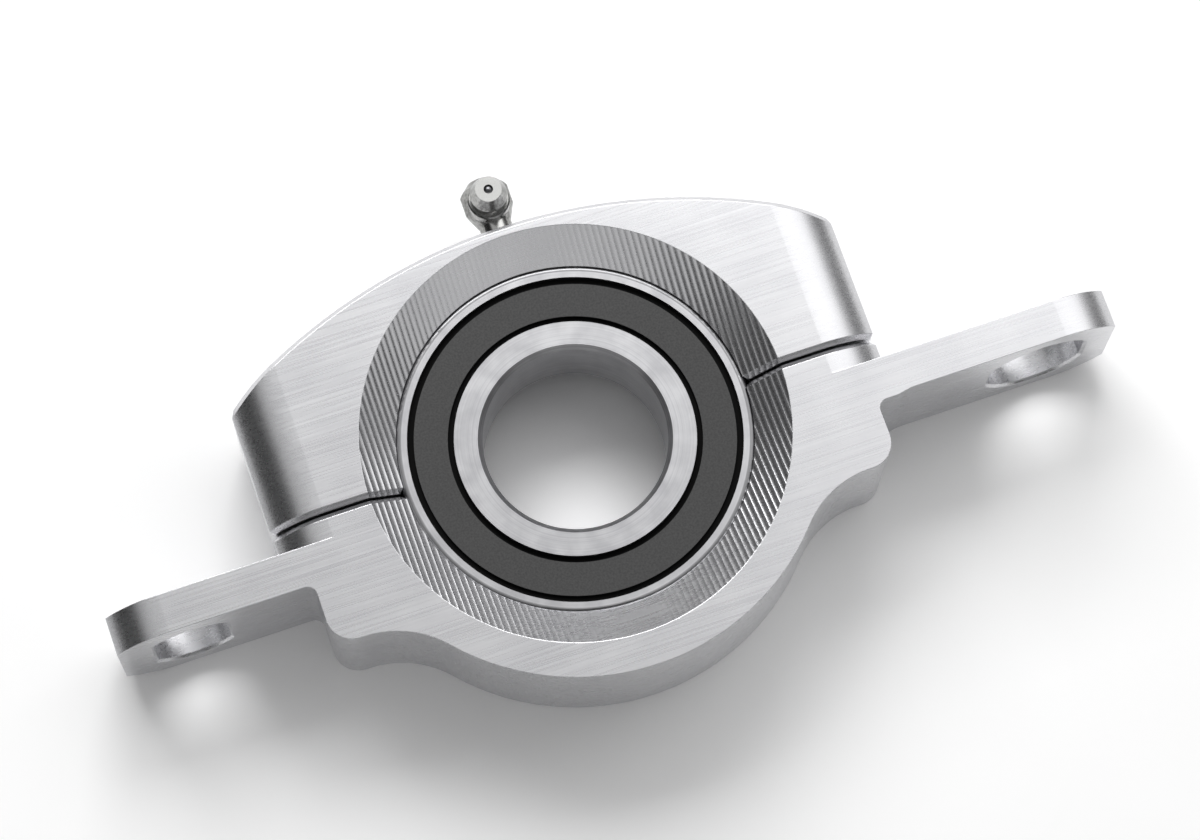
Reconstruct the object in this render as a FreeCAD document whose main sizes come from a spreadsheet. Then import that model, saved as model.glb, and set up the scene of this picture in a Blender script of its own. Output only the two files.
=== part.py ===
"""Driveshaft centre bearing: a sealed ball bearing clamped in a split aluminium carrier with two ears.

The shaft runs along Z through the origin, which is the middle of the bearing. The ears lie along X,
the cap is on the +Y side and the saddle on the -Y side. Lengths are in millimetres.
"""
import FreeCAD, Part
import math
import os
import re
import Sketcher
from FreeCAD import Placement, Rotation, Vector

SIZES = (
    ("plate_thickness", 25.4, "both halves of the carrier, measured along the shaft"),
    ("split_gap", 0.5, "open joint between the cap and the saddle"),
    ("edge_chamfer", 0.8, "broken edges of the cap and of the saddle's raised pad"),
    ("end_round", 12.7, "radius that rounds each end of the carrier, seen from above"),
    ("end_run", 9.6, "how far an end reaches past the start of its rounding"),
    ("ear_drop", 4.45, "from the split down to the top of the ears"),
    ("ear_thickness", 6.75, "height of the ears"),
    ("left_reach", 85.1, "from the shaft to the end of the left ear"),
    ("right_reach", 94.5, "from the shaft to the end of the right ear"),
    ("step_reach", 54.0, "where the thicker root of the right ear ends"),
    ("step_run", 2.6, "length of the slope at the end of that root"),
    ("step_height", 0.5, "extra height of that root"),
    ("pad_reach", 54.2, "half the length of the saddle's raised pad"),
    ("shoulder_reach", 50.2, "half the width across the saddle's shoulders"),
    ("shoulder_depth", 22.4, "from the split down to the foot of the shoulders"),
    ("shoulder_corner", 4.6, "outer corner of a shoulder"),
    ("root_fillet", 1.7, "inner corner between an ear and its shoulder"),
    ("belly_blend", 17.5, "hollow curve between a shoulder and the round belly"),
    ("belly_radius", 42.7, "round belly under the bearing"),
    ("left_hole_inset", 12.65, "from the end of the left ear in to its hole"),
    ("left_hole_radius", 8.6, "round walls of the left hole"),
    ("left_hole_flat", 6.5, "from the left hole's middle to its flat walls"),
    ("right_hole_inset", 13.6, "from the end of the right ear in to its hole"),
    ("right_hole_radius", 9.4, "round walls of the right hole"),
    ("right_hole_flat", 8.6, "from the right hole's middle to its flat walls"),
    ("hole_chamfer", 0.45, "broken edges of the ear holes"),
    ("cap_reach", 54.4, "half the length of the cap"),
    ("crown_radius", 100.5, "arched top of the cap"),
    ("crown_height", 38.7, "from the shaft to the top of the crown"),
    ("funnel_radius", 36.8, "mouth of the funnel at each face"),
    ("lip_overlap", 0.4, "how far the lip stands in over the bearing's corner"),
    ("lip_land", 0.3, "from the bearing's face out to the start of the funnel"),
    ("lip_bite", 0.05, "how far the lip's stop lies inside the bearing's face"),
    ("fit_clearance", 0.02, "radial room of each tight fit"),
    ("bearing_outside", 62.0, "outside diameter of the bearing"),
    ("bearing_bore", 31.75, "bore of the bearing, which takes the shaft"),
    ("bearing_width", 16.0, "width of both rings"),
    ("ring_corner", 1.0, "rounded outer corners of the outer ring"),
    ("bore_chamfer", 0.8, "chamfers of the bore"),
    ("inner_land", 20.75, "outside radius of the inner ring"),
    ("outer_land", 28.75, "inside radius of the outer ring at its faces"),
    ("outer_shoulder", 26.6, "inside radius of the outer ring beside the raceway"),
    ("pitch_radius", 23.3, "circle through the middles of the balls"),
    ("ball_diameter", 9.525, "the balls"),
    ("ball_count", 9, "how many balls the bearing holds"),
    ("ball_clearance", 0.03, "radial room between a ball and each raceway"),
    ("race_radius", 4.95, "groove in which the balls run"),
    ("lube_depth", 0.5, "depth of the grease groove round the outer ring"),
    ("lube_bottom", 1.5, "grease groove: how far it reaches behind the middle"),
    ("lube_top", 5.6, "grease groove: how far it reaches in front of the middle"),
    ("lube_hole_radius", 0.8, "hole that leads the grease in beside the raceway"),
    ("lube_hole_z", 4.6, "place of that hole along the shaft"),
    ("seal_shelf", 6.0, "shelves of the outer ring that carry the seals"),
    ("seal_face", 7.65, "outer face of each seal"),
    ("seal_outside", 27.6, "outside radius of the seal's raised face"),
    ("seal_inside", 21.8, "inside radius of the seal's raised face"),
    ("bead_top", 7.0, "rim of the seal that is pressed into the outer ring"),
    ("lip_top", 6.9, "thin lip of the seal that runs on the inner ring"),
    ("lip_clearance", 0.06, "radial room between that lip and the inner ring"),
    ("seal_plate_thickness", 0.5, "steel ring bonded behind each seal"),
    ("seal_plate_inside", 21.5, "inside radius of that steel ring"),
    ("seal_plate_outside", 26.4, "outside radius of that steel ring"),
    ("cage_sheet", 0.8, "sheet from which the two cage halves are pressed"),
    ("cage_inside", 21.6, "inside radius of the cage"),
    ("cage_outside", 25.2, "outside radius of the cage"),
    ("pocket_clearance", 0.09, "radial room between a ball and its pocket"),
    ("rivet_radius", 0.7, "rivets of the cage"),
    ("rivet_head_radius", 1.2, "domed heads of those rivets"),
    ("rivet_head_height", 0.6, "height of those heads"),
    ("screw_inset", 9.9, "from the end of the cap in to its screw"),
    ("screw_seat", 16.0, "from the split up to the seat of a screw's head"),
    ("screw_radius", 4.0, "shank of a cap screw"),
    ("screw_length", 30.0, "length of a screw below its head"),
    ("screw_head_radius", 6.5, "head of a cap screw"),
    ("screw_head_height", 8.0, "height of that head"),
    ("screw_chamfer", 0.8, "chamfers of a cap screw"),
    ("socket_radius", 3.46, "corners of the hexagon socket in the head"),
    ("socket_depth", 4.0, "depth of that socket"),
    ("counterbore_radius", 7.0, "pocket in the cap for a screw's head"),
    ("clearance_hole_radius", 4.5, "hole in the cap for a screw's shank"),
    ("tapped_depth", 17.5, "from the split down to the end of a screw's hole"),
    ("fitting_y", 46.55, "from the shaft up to the middle of the grease fitting's head"),
    ("fitting_apothem", 3.75, "half the width across the flats of its hexagon"),
    ("fitting_below", 3.5, "from the head's axis down to the foot of the hexagon"),
    ("fitting_above", 4.9, "from the head's axis up to the top of the hexagon"),
    ("top_chamfer", 2.4, "radius at which the chamfer of the hexagon's top starts"),
    ("top_slope", 0.95, "drop of that chamfer for each step outwards"),
    ("foot_chamfer", 2.9, "radius at which the taper of the hexagon's foot starts"),
    ("foot_slope", 2.17, "rise of that taper for each step outwards"),
    ("collar_radius", 3.7, "round collar from which the head stands out"),
    ("collar_back", 2.0, "from the thread's axis to the back of that collar"),
    ("collar_front", 4.7, "from the thread's axis to the front of that collar"),
    ("collar_edge", 0.25, "broken edge of that collar"),
    ("neck_radius", 2.45, "neck behind the fitting's head"),
    ("neck_front", 5.9, "from the thread's axis to the front of that neck"),
    ("flare_radius", 3.27, "widest ring of the head"),
    ("flare_z", 7.2, "place of that ring"),
    ("tip_radius", 2.3, "flat tip of the head"),
    ("tip_z", 10.0, "from the thread's axis to the tip"),
    ("shank_radius", 2.9, "threaded shank of the fitting"),
    ("shank_end", 33.4, "from the shaft up to the end of that shank"),
    ("mouth_radius", 0.82, "mouth in the tip, which the check ball closes"),
    ("mouth_lip", 0.4, "thickness of the mouth's edge"),
    ("chamber_radius", 1.2, "chamber of the check ball and its spring"),
    ("chamber_end", 2.0, "from the thread's axis to the end of that chamber"),
    ("duct_radius", 0.6, "duct behind the chamber"),
    ("passage_radius", 1.1, "passage down the shank and through the cap"),
    ("check_ball_radius", 1.0, "check ball"),
    ("check_ball_gap", 0.012, "room between the check ball and the mouth at rest"),
    ("spring_radius", 0.85, "middle of the spring's wire"),
    ("spring_wire", 0.15, "radius of the spring's wire"),
    ("spring_turns", 5, "turns of the spring"),
)
ALIASES = {alias for alias, number, note in SIZES}

SEAT = "(bearing_outside / 2 + fit_clearance)"
HALF_PLATE = "plate_thickness / 2"
HALF_WIDTH = "bearing_width / 2"
BORE = "bearing_bore / 2"
EAR_BOTTOM = "(ear_drop + ear_thickness)"
BALL = "ball_diameter / 2"
INNER_RACE_CENTRE = "(pitch_radius - ball_diameter / 2 - ball_clearance + race_radius)"
OUTER_RACE_CENTRE = "(pitch_radius + ball_diameter / 2 + ball_clearance - race_radius)"
PLATE_TOP = "(seal_shelf + seal_plate_thickness)"
END_CORNER = "(plate_thickness / 2 - end_round + sqrt(end_round ^ 2 - end_run ^ 2))"
LEFT_HOLE_X = "(left_reach - left_hole_inset)"
RIGHT_HOLE_X = "(right_reach - right_hole_inset)"
SCREW_X = "(cap_reach - screw_inset)"
CROWN_SIDE = "(crown_height - crown_radius + sqrt(crown_radius ^ 2 - cap_reach ^ 2))"
CHECK_BALL_Z = "(tip_z - mouth_lip - check_ball_gap - sqrt(check_ball_radius ^ 2 - mouth_radius ^ 2))"
OVERRUN = 2.0
TOUCH = 1e-4

document = FreeCAD.newDocument("centre_bearing")
sheet = document.addObject("Spreadsheet::Sheet", "sizes")
for row, (alias, number, note) in enumerate(SIZES, start=1):
    sheet.set(f"A{row}", note)
    sheet.set(f"B{row}", str(number))
    sheet.setAlias(f"B{row}", alias)
document.recompute()
pieces = []


def bound(text):
    """The expression with each size written as a cell of the sheet."""
    def cell(word):
        return "sizes." + word.group() if word.group() in ALIASES else word.group()

    return re.sub(r"[a-z]\w*", cell, text)


def size(text):
    """The number that an expression of the sheet's sizes has now."""
    return float(sheet.evalExpression(bound(str(text))))


def new_body(name):
    """An empty body whose label names its piece."""
    body = document.addObject("PartDesign::Body", name)
    body.Label = name
    pieces.append(body)
    return body


def new_sketch(body, name, plane, offset=None):
    """A sketch on one of the body's own planes, moved along the plane's normal by an expression."""
    sketch = body.newObject("Sketcher::SketchObject", body.Name + "_" + name)
    support = next(feature for feature in body.Origin.OriginFeatures if feature.Role == plane)
    sketch.AttachmentSupport = [(support, "")]
    sketch.MapMode = "FlatFace"
    if offset is not None:
        sketch.setExpression("AttachmentOffset.Base.z", bound(offset))
    return sketch


def hold(sketch, geometry, point, x, y):
    """Holds a point of the sketch at two expressions, measured from the sketch's origin."""
    for direction, text, axis in (("DistanceX", x, -2), ("DistanceY", y, -1)):
        if text == "0":
            sketch.addConstraint(Sketcher.Constraint("PointOnObject", geometry, point, axis))
            continue
        index = sketch.addConstraint(Sketcher.Constraint(direction, -1, 1, geometry, point, size(text)))
        sketch.setExpression(f"Constraints[{index}]", bound(text))


def arc_between(start, end, radius, side):
    """The short arc from start to end, with its centre to the left or right of the way there."""
    chord = end - start
    left = Vector(-chord.y, chord.x, 0).normalize()
    height = math.sqrt(max(radius ** 2 - chord.Length ** 2 / 4, 0.0))
    centre = (start + end) / 2 + left * (height if side == "left" else -height)
    first, last = (start, end) if side == "left" else (end, start)
    angles = [math.atan2(point.y - centre.y, point.x - centre.x) for point in (first, last)]
    return Part.ArcOfCircle(Part.Circle(centre, Vector(0, 0, 1), radius), *angles)


def draw_loop(sketch, corners):
    """A closed loop. Each corner is (x, y), or (x, y, side, radius) where an arc leaves it."""
    points = [Vector(size(corner[0]), size(corner[1]), 0) for corner in corners]
    ends = []
    for index, corner in enumerate(corners):
        start, end = points[index], points[(index + 1) % len(points)]
        if len(corner) == 2:
            ends.append((sketch.addGeometry(Part.LineSegment(start, end)), 1, 2))
            continue
        side, radius = corner[2], corner[3]
        geometry = sketch.addGeometry(arc_between(start, end, size(radius), side))
        ends.append((geometry, 1, 2) if side == "left" else (geometry, 2, 1))
        limit = sketch.addConstraint(Sketcher.Constraint("Radius", geometry, size(radius)))
        sketch.setExpression(f"Constraints[{limit}]", bound(radius))
    for index, (geometry, first, last) in enumerate(ends):
        following, start, end = ends[(index + 1) % len(ends)]
        sketch.addConstraint(Sketcher.Constraint("Coincident", geometry, last, following, start))
        hold(sketch, geometry, first, corners[index][0], corners[index][1])


def draw_circle(sketch, x, y, radius):
    """A circle whose middle and radius are expressions."""
    centre = Vector(size(x), size(y), 0)
    geometry = sketch.addGeometry(Part.Circle(centre, Vector(0, 0, 1), size(radius)))
    index = sketch.addConstraint(Sketcher.Constraint("Radius", geometry, size(radius)))
    sketch.setExpression(f"Constraints[{index}]", bound(radius))
    hold(sketch, geometry, 3, x, y)


def add_feature(body, kind, sketch, name, **settings):
    """A feature of the body that reads a sketch. A length is an expression."""
    feature = body.newObject("PartDesign::" + kind, body.Name + "_" + name)
    feature.Profile = sketch
    for setting, given in settings.items():
        if setting == "Length":
            feature.setExpression("Length", bound(given))
        else:
            setattr(feature, setting, given)
    sketch.Visibility = False
    document.recompute()
    return feature


def pad(body, sketch, name, length, **settings):
    return add_feature(body, "Pad", sketch, name, Length=length, **settings)


def pocket(body, sketch, name, length=None, **settings):
    """A pocket of a given length, or one that goes through everything both ways."""
    if length is None:
        return add_feature(body, "Pocket", sketch, name, Type="ThroughAll", SideType="Symmetric", **settings)
    return add_feature(body, "Pocket", sketch, name, Length=length, **settings)


def revolve(body, sketch, name, kind="Revolution"):
    """The sketch turned once about its own vertical axis, added or cut away."""
    return add_feature(body, kind, sketch, name, ReferenceAxis=(sketch, ["V_Axis"]), Angle=360)


def chamfer(body, name, width, wanted):
    """Breaks each edge of the body that the test picks."""
    tip = body.Tip
    names = [f"Edge{index}" for index, edge in enumerate(tip.Shape.Edges, start=1) if wanted(edge)]
    feature = body.newObject("PartDesign::Chamfer", body.Name + "_" + name)
    feature.Base = (tip, names)
    feature.setExpression("Size", bound(width))
    document.recompute()
    return feature


def level_with(place):
    """A test for edges that lie at one height along Y."""
    return lambda edge: lies_at(edge.BoundBox.YMin, edge.BoundBox.YMax, place)


def lies_at(low, high, place):
    """True where a stretch from low to high lies at one place."""
    return abs(low - place) < TOUCH and abs(high - place) < TOUCH


def end_waste(sketch, reach, side):
    """The loop outside a rounded end, seen along Y. side is 1 for the right end and -1 for the left."""
    sign = "" if side > 0 else "-"
    turn, back = ("right", "right") if side > 0 else ("left", "left")
    start, end = f"{sign}({reach} - end_run)", f"{sign}{reach}"
    beyond = f"{sign}({reach} + {OVERRUN})"
    draw_loop(sketch, [
        (start, HALF_PLATE, turn, "end_round"),
        (end, END_CORNER),
        (end, "-" + END_CORNER, back, "end_round"),
        (start, "-" + HALF_PLATE),
        (beyond, f"-({HALF_PLATE} + {OVERRUN})"),
        (beyond, f"{HALF_PLATE} + {OVERRUN}"),
    ])


def cut_funnels(body):
    """The opening for the bearing: a funnel on each side and a straight throat between them."""
    sketch = new_sketch(body, "funnel_section", "XZ_Plane")
    lip, mouth = f"({SEAT} - lip_overlap)", f"({HALF_WIDTH} + lip_land)"
    out = f"({HALF_PLATE} + {OVERRUN})"
    draw_loop(sketch, [
        ("0", "-" + out), ("funnel_radius", "-" + out), ("funnel_radius", "-" + HALF_PLATE), (lip, "-" + mouth),
        (lip, mouth), ("funnel_radius", HALF_PLATE), ("funnel_radius", out), ("0", out),
    ])
    revolve(body, sketch, "funnels", "Groove")


def cut_seat(body):
    """The seat of the outer ring, which leaves a lip on each side of it."""
    sketch = new_sketch(body, "seat_section", "XZ_Plane")
    stop = f"({HALF_WIDTH} - lip_bite)"
    draw_loop(sketch, [("0", "-" + stop), (SEAT, "-" + stop), (SEAT, stop), ("0", stop)])
    revolve(body, sketch, "seat", "Groove")


def make_saddle():
    """The lower half: belly, shoulders, ears and the raised pad that faces the cap."""
    body = new_body("saddle")
    outline = new_sketch(body, "outline", "XY_Plane")
    root = f"({EAR_BOTTOM} + step_height)"
    blend_x = "sqrt((belly_radius + belly_blend) ^ 2 - (shoulder_depth + belly_blend) ^ 2)"
    share = "belly_radius / (belly_radius + belly_blend)"
    touch_x = f"({share} * {blend_x})"
    touch_y = f"({share} * (shoulder_depth + belly_blend))"
    foot = "(shoulder_reach - shoulder_corner)"
    draw_loop(outline, [
        ("right_reach", "-ear_drop"),
        ("-left_reach", "-ear_drop"),
        ("-left_reach", "-" + EAR_BOTTOM),
        ("-(shoulder_reach + root_fillet)", "-" + EAR_BOTTOM, "right", "root_fillet"),
        ("-shoulder_reach", f"-({EAR_BOTTOM} + root_fillet)"),
        ("-shoulder_reach", "-(shoulder_depth - shoulder_corner)", "left", "shoulder_corner"),
        ("-" + foot, "-shoulder_depth"),
        ("-" + blend_x, "-shoulder_depth", "right", "belly_blend"),
        ("-" + touch_x, "-" + touch_y, "left", "belly_radius"),
        (touch_x, "-" + touch_y, "right", "belly_blend"),
        (blend_x, "-shoulder_depth"),
        (foot, "-shoulder_depth", "left", "shoulder_corner"),
        ("shoulder_reach", "-(shoulder_depth - shoulder_corner)"),
        ("shoulder_reach", f"-({root} + root_fillet)", "right", "root_fillet"),
        ("shoulder_reach + root_fillet", "-" + root),
        ("step_reach", "-" + root),
        ("step_reach + step_run", "-" + EAR_BOTTOM),
        ("right_reach", "-" + EAR_BOTTOM),
    ])
    pad(body, outline, "plate", "plate_thickness", SideType="Symmetric")

    ends = new_sketch(body, "ear_ends", "XZ_Plane")
    end_waste(ends, "right_reach", 1)
    end_waste(ends, "left_reach", -1)
    pocket(body, ends, "rounded_ears")

    top = new_sketch(body, "pad_outline", "XZ_Plane", "split_gap / 2")
    run = "(pad_reach - end_run)"
    draw_loop(top, [
        (run, "-" + HALF_PLATE, "left", "end_round"), ("pad_reach", "-" + END_CORNER),
        ("pad_reach", END_CORNER, "left", "end_round"), (run, HALF_PLATE),
        ("-" + run, HALF_PLATE, "left", "end_round"), ("-pad_reach", END_CORNER),
        ("-pad_reach", "-" + END_CORNER, "left", "end_round"), ("-" + run, "-" + HALF_PLATE),
    ])
    pad(body, top, "raised_pad", "ear_drop - split_gap / 2 + edge_chamfer")

    cut_funnels(body)
    chamfer(body, "pad_edges", "edge_chamfer", level_with(-size("split_gap / 2")))
    cut_seat(body)

    tapped = new_sketch(body, "tapped_holes", "XZ_Plane")
    for side in ("", "-"):
        draw_circle(tapped, side + SCREW_X, "0", "screw_radius + fit_clearance")
    pocket(body, tapped, "screw_holes", "tapped_depth", Reversed=True)

    holes = new_sketch(body, "ear_holes", "XZ_Plane")
    for middle, radius, flat in (("-" + LEFT_HOLE_X, "left_hole_radius", "left_hole_flat"),
                                 (RIGHT_HOLE_X, "right_hole_radius", "right_hole_flat")):
        height = f"sqrt({radius} ^ 2 - {flat} ^ 2)"
        draw_loop(holes, [
            (f"{middle} + {flat}", height, "left", radius), (f"{middle} - {flat}", height),
            (f"{middle} - {flat}", "-" + height, "left", radius), (f"{middle} + {flat}", "-" + height),
        ])
    pocket(body, holes, "ear_windows")

    ear_top, ear_bottom = -size("ear_drop"), -size(EAR_BOTTOM)
    hole_reach = size(LEFT_HOLE_X + " - left_hole_radius")

    def on_ear_hole(edge):
        box = edge.BoundBox
        level = lies_at(box.YMin, box.YMax, ear_top) or lies_at(box.YMin, box.YMax, ear_bottom)
        inside = box.ZMax < size(HALF_PLATE) - TOUCH and box.ZMin > -size(HALF_PLATE) + TOUCH
        left = abs(box.Center.x + size(LEFT_HOLE_X)) < size("left_hole_radius")
        right = abs(box.Center.x - size(RIGHT_HOLE_X)) < size("right_hole_radius")
        return level and inside and abs(box.Center.x) > hole_reach - TOUCH and (left or right)

    chamfer(body, "hole_edges", "hole_chamfer", on_ear_hole)
    return body


def make_cap():
    """The upper half: arched crown, screw pockets and the grease passage."""
    body = new_body("cap")
    outline = new_sketch(body, "outline", "XY_Plane")
    draw_loop(outline, [
        ("-cap_reach", "split_gap / 2"),
        ("cap_reach", "split_gap / 2"),
        ("cap_reach", CROWN_SIDE, "left", "crown_radius"),
        ("-cap_reach", CROWN_SIDE),
    ])
    pad(body, outline, "plate", "plate_thickness", SideType="Symmetric")

    ends = new_sketch(body, "cap_ends", "XZ_Plane")
    end_waste(ends, "cap_reach", 1)
    end_waste(ends, "cap_reach", -1)
    pocket(body, ends, "rounded_ends")
    cut_funnels(body)
    chamfer(body, "split_edges", "edge_chamfer", level_with(size("split_gap / 2")))
    side = size(CROWN_SIDE)
    chamfer(body, "crown_edges", "edge_chamfer", lambda edge: edge.BoundBox.YMin > side - TOUCH)
    cut_seat(body)

    above = f"-(crown_height + {OVERRUN})"
    heads = new_sketch(body, "screw_heads", "XZ_Plane", above)
    shanks = new_sketch(body, "screw_shanks", "XZ_Plane")
    for side in ("", "-"):
        draw_circle(heads, side + SCREW_X, "0", "counterbore_radius")
        draw_circle(shanks, side + SCREW_X, "0", "clearance_hole_radius")
    pocket(body, heads, "counterbores", f"crown_height + {OVERRUN} - screw_seat", Reversed=True)
    pocket(body, shanks, "clearance_holes")

    thread = new_sketch(body, "fitting_thread", "XZ_Plane", above)
    draw_circle(thread, "0", "0", "shank_radius + fit_clearance")
    pocket(body, thread, "fitting_hole", f"crown_height + {OVERRUN} - shank_end", Reversed=True)
    passage = new_sketch(body, "grease_passage", "XZ_Plane")
    draw_circle(passage, "0", "0", "passage_radius")
    pocket(body, passage, "passage")
    return body


def make_screw(name, side):
    """A socket head cap screw, whose head sits in the cap and whose end is in the saddle."""
    body = new_body(name)
    section = new_sketch(body, "section", "XY_Plane")
    draw_loop(section, [
        ("0", "-screw_length"),
        ("screw_radius - screw_chamfer", "-screw_length"),
        ("screw_radius", "-(screw_length - screw_chamfer)"),
        ("screw_radius", "0"),
        ("screw_head_radius", "0"),
        ("screw_head_radius", "screw_head_height - screw_chamfer"),
        ("screw_head_radius - screw_chamfer", "screw_head_height"),
        ("0", "screw_head_height"),
    ])
    revolve(body, section, "turned")
    socket = new_sketch(body, "socket", "XZ_Plane", "-screw_head_height")
    draw_hexagon(socket, "socket_radius")
    pocket(body, socket, "hexagon_socket", "socket_depth", Reversed=True)
    body.setExpression("Placement.Base.x", bound(side + SCREW_X))
    body.setExpression("Placement.Base.y", bound("screw_seat"))
    return body


def draw_hexagon(sketch, radius):
    """A hexagon about the sketch's origin with two of its corners on the horizontal axis."""
    half, tall = f"{radius} / 2", f"{radius} * sqrt(3) / 2"
    draw_loop(sketch, [
        (radius, "0"), (half, tall), ("-" + half, tall),
        ("-" + radius, "0"), ("-" + half, "-" + tall), (half, "-" + tall),
    ])


def make_outer_ring():
    """The ring that the carrier clamps, with a raceway, two seal shelves and a grease groove."""
    body = new_body("outer_ring")
    section = new_sketch(body, "section", "XZ_Plane")
    outside, floor = "bearing_outside / 2", "(bearing_outside / 2 - lube_depth)"
    edge = f"({HALF_WIDTH} - ring_corner)"
    race = f"sqrt(race_radius ^ 2 - (outer_shoulder - {OUTER_RACE_CENTRE}) ^ 2)"
    draw_loop(section, [
        ("outer_land", "-" + HALF_WIDTH),
        (f"{outside} - ring_corner", "-" + HALF_WIDTH, "left", "ring_corner"),
        (outside, "-" + edge),
        (outside, "-lube_bottom"), (floor, "-lube_bottom"), (floor, "lube_top"), (outside, "lube_top"),
        (outside, edge, "left", "ring_corner"),
        (f"{outside} - ring_corner", HALF_WIDTH),
        ("outer_land", HALF_WIDTH), ("outer_land", "seal_shelf"), ("outer_shoulder", "seal_shelf"),
        ("outer_shoulder", race, "right", "race_radius"),
        ("outer_shoulder", "-" + race),
        ("outer_shoulder", "-seal_shelf"), ("outer_land", "-seal_shelf"),
    ])
    revolve(body, section, "turned")
    hole = new_sketch(body, "lube_hole", "XZ_Plane")
    draw_circle(hole, "0", "lube_hole_z", "lube_hole_radius")
    pocket(body, hole, "drilled", "bearing_outside / 2 + split_gap", Reversed=False)
    return body


def make_inner_ring():
    """The ring that the shaft passes through."""
    body = new_body("inner_ring")
    section = new_sketch(body, "section", "XZ_Plane")
    race = f"sqrt(race_radius ^ 2 - ({INNER_RACE_CENTRE} - inner_land) ^ 2)"
    draw_loop(section, [
        (f"{BORE} + bore_chamfer", "-" + HALF_WIDTH),
        ("inner_land", "-" + HALF_WIDTH),
        ("inner_land", "-" + race, "right", "race_radius"),
        ("inner_land", race),
        ("inner_land", HALF_WIDTH),
        (f"{BORE} + bore_chamfer", HALF_WIDTH),
        (BORE, f"{HALF_WIDTH} - bore_chamfer"),
        (BORE, f"-({HALF_WIDTH} - bore_chamfer)"),
    ])
    revolve(body, section, "turned")
    return body


def turn_over(corners, side):
    """The loop as it is for the front, or mirrored in the middle plane for the back."""
    if side > 0:
        return corners
    return [(x, f"-({y})") for x, y in reversed(corners)]


def make_seal(name, side):
    """A moulded rubber seal: pressed rim, raised face and running lip."""
    body = new_body(name)
    section = new_sketch(body, "section", "XZ_Plane")
    rim, lip = "outer_land - fit_clearance", "inner_land + lip_clearance"
    draw_loop(section, turn_over([
        (rim, "seal_shelf"), (rim, "bead_top"), ("seal_outside", "bead_top"), ("seal_outside", "seal_face"),
        ("seal_inside", "seal_face"), ("seal_inside", "lip_top"), (lip, "lip_top"), (lip, PLATE_TOP),
        ("seal_plate_outside", PLATE_TOP), ("seal_plate_outside", "seal_shelf"),
    ], side))
    revolve(body, section, "moulded")
    return body


def make_seal_plate(name, side):
    """The steel ring that stiffens a seal from behind."""
    body = new_body(name)
    section = new_sketch(body, "section", "XZ_Plane")
    draw_loop(section, turn_over([
        ("seal_plate_inside", "seal_shelf"), ("seal_plate_outside", "seal_shelf"),
        ("seal_plate_outside", PLATE_TOP), ("seal_plate_inside", PLATE_TOP),
    ], side))
    revolve(body, section, "stamped")
    return body


def ball_direction(index, shift=0.0):
    """The unit vector from the shaft towards a ball, or towards the web after it."""
    angle = 2 * math.pi * (index + shift) / round(size("ball_count"))
    return Vector(-math.sin(angle), math.cos(angle), 0)


def make_ball(index):
    """A bearing ball. Ball 1 stands under the cap, and the others follow anticlockwise."""
    ball = document.addObject("Part::Sphere", f"ball_{index + 1}")
    ball.Label = f"ball_{index + 1}"
    ball.setExpression("Radius", bound(BALL))
    ball.Placement = Placement(ball_direction(index) * size("pitch_radius"), Rotation())
    pieces.append(ball)
    return ball


def make_cage_half(name, side):
    """One pressed half of the ribbon cage: flat webs between pockets that wrap half of each ball."""
    inside, outside, sheet_metal = size("cage_inside"), size("cage_outside"), size("cage_sheet")
    pocket_radius = size(BALL + " + pocket_clearance")
    reach = pocket_radius + sheet_metal
    up = Vector(0, 0, side)
    start = Vector(0, 0, 0)
    opening = Part.makeCylinder(inside, reach, start, up)
    webs = Part.makeCylinder(outside, sheet_metal, start, up).cut(opening)
    band = Part.makeCylinder(outside, reach, start, up).cut(opening)
    middles = [ball_direction(index) * size("pitch_radius") for index in range(round(size("ball_count")))]
    shells = [Part.makeSphere(reach, middle).common(band) for middle in middles]
    hollows = [Part.makeSphere(pocket_radius, middle) for middle in middles]
    rivet_holes = [
        Part.makeCylinder(size("rivet_radius"), 2 * reach, ball_direction(index, 0.5) * size("pitch_radius"), up)
        for index in range(len(middles))
    ]
    half = webs.fuse(shells).cut(hollows + rivet_holes)
    return add_shape(name, half.removeSplitter())


def make_cage_rivets():
    """The rivets that join the two halves of the cage, one in each web."""
    grip, head = size("cage_sheet"), size("rivet_head_height")
    dome = (size("rivet_head_radius") ** 2 + head ** 2) / (2 * head)
    rivets = []
    for index in range(round(size("ball_count"))):
        place = ball_direction(index, 0.5) * size("pitch_radius")
        shank = Part.makeCylinder(size("rivet_radius"), 2 * grip, place - Vector(0, 0, grip))
        caps = []
        for side in (1, -1):
            up = Vector(0, 0, side)
            blank = Part.makeCylinder(size("rivet_head_radius"), head, place + up * grip, up)
            caps.append(blank.common(Part.makeSphere(dome, place + up * (grip + head - dome))))
        rivets.append(shank.fuse(caps).removeSplitter())
    return add_shape("cage_rivets", Part.makeCompound(rivets))


def add_shape(name, shape, y="0", z="0"):
    """A finished shape as a piece of the document, moved by two expressions."""
    piece = document.addObject("Part::Feature", name)
    piece.Label = name
    piece.Shape = shape
    piece.setExpression("Placement.Base.y", bound(y))
    piece.setExpression("Placement.Base.z", bound(z))
    pieces.append(piece)
    return piece


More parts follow.
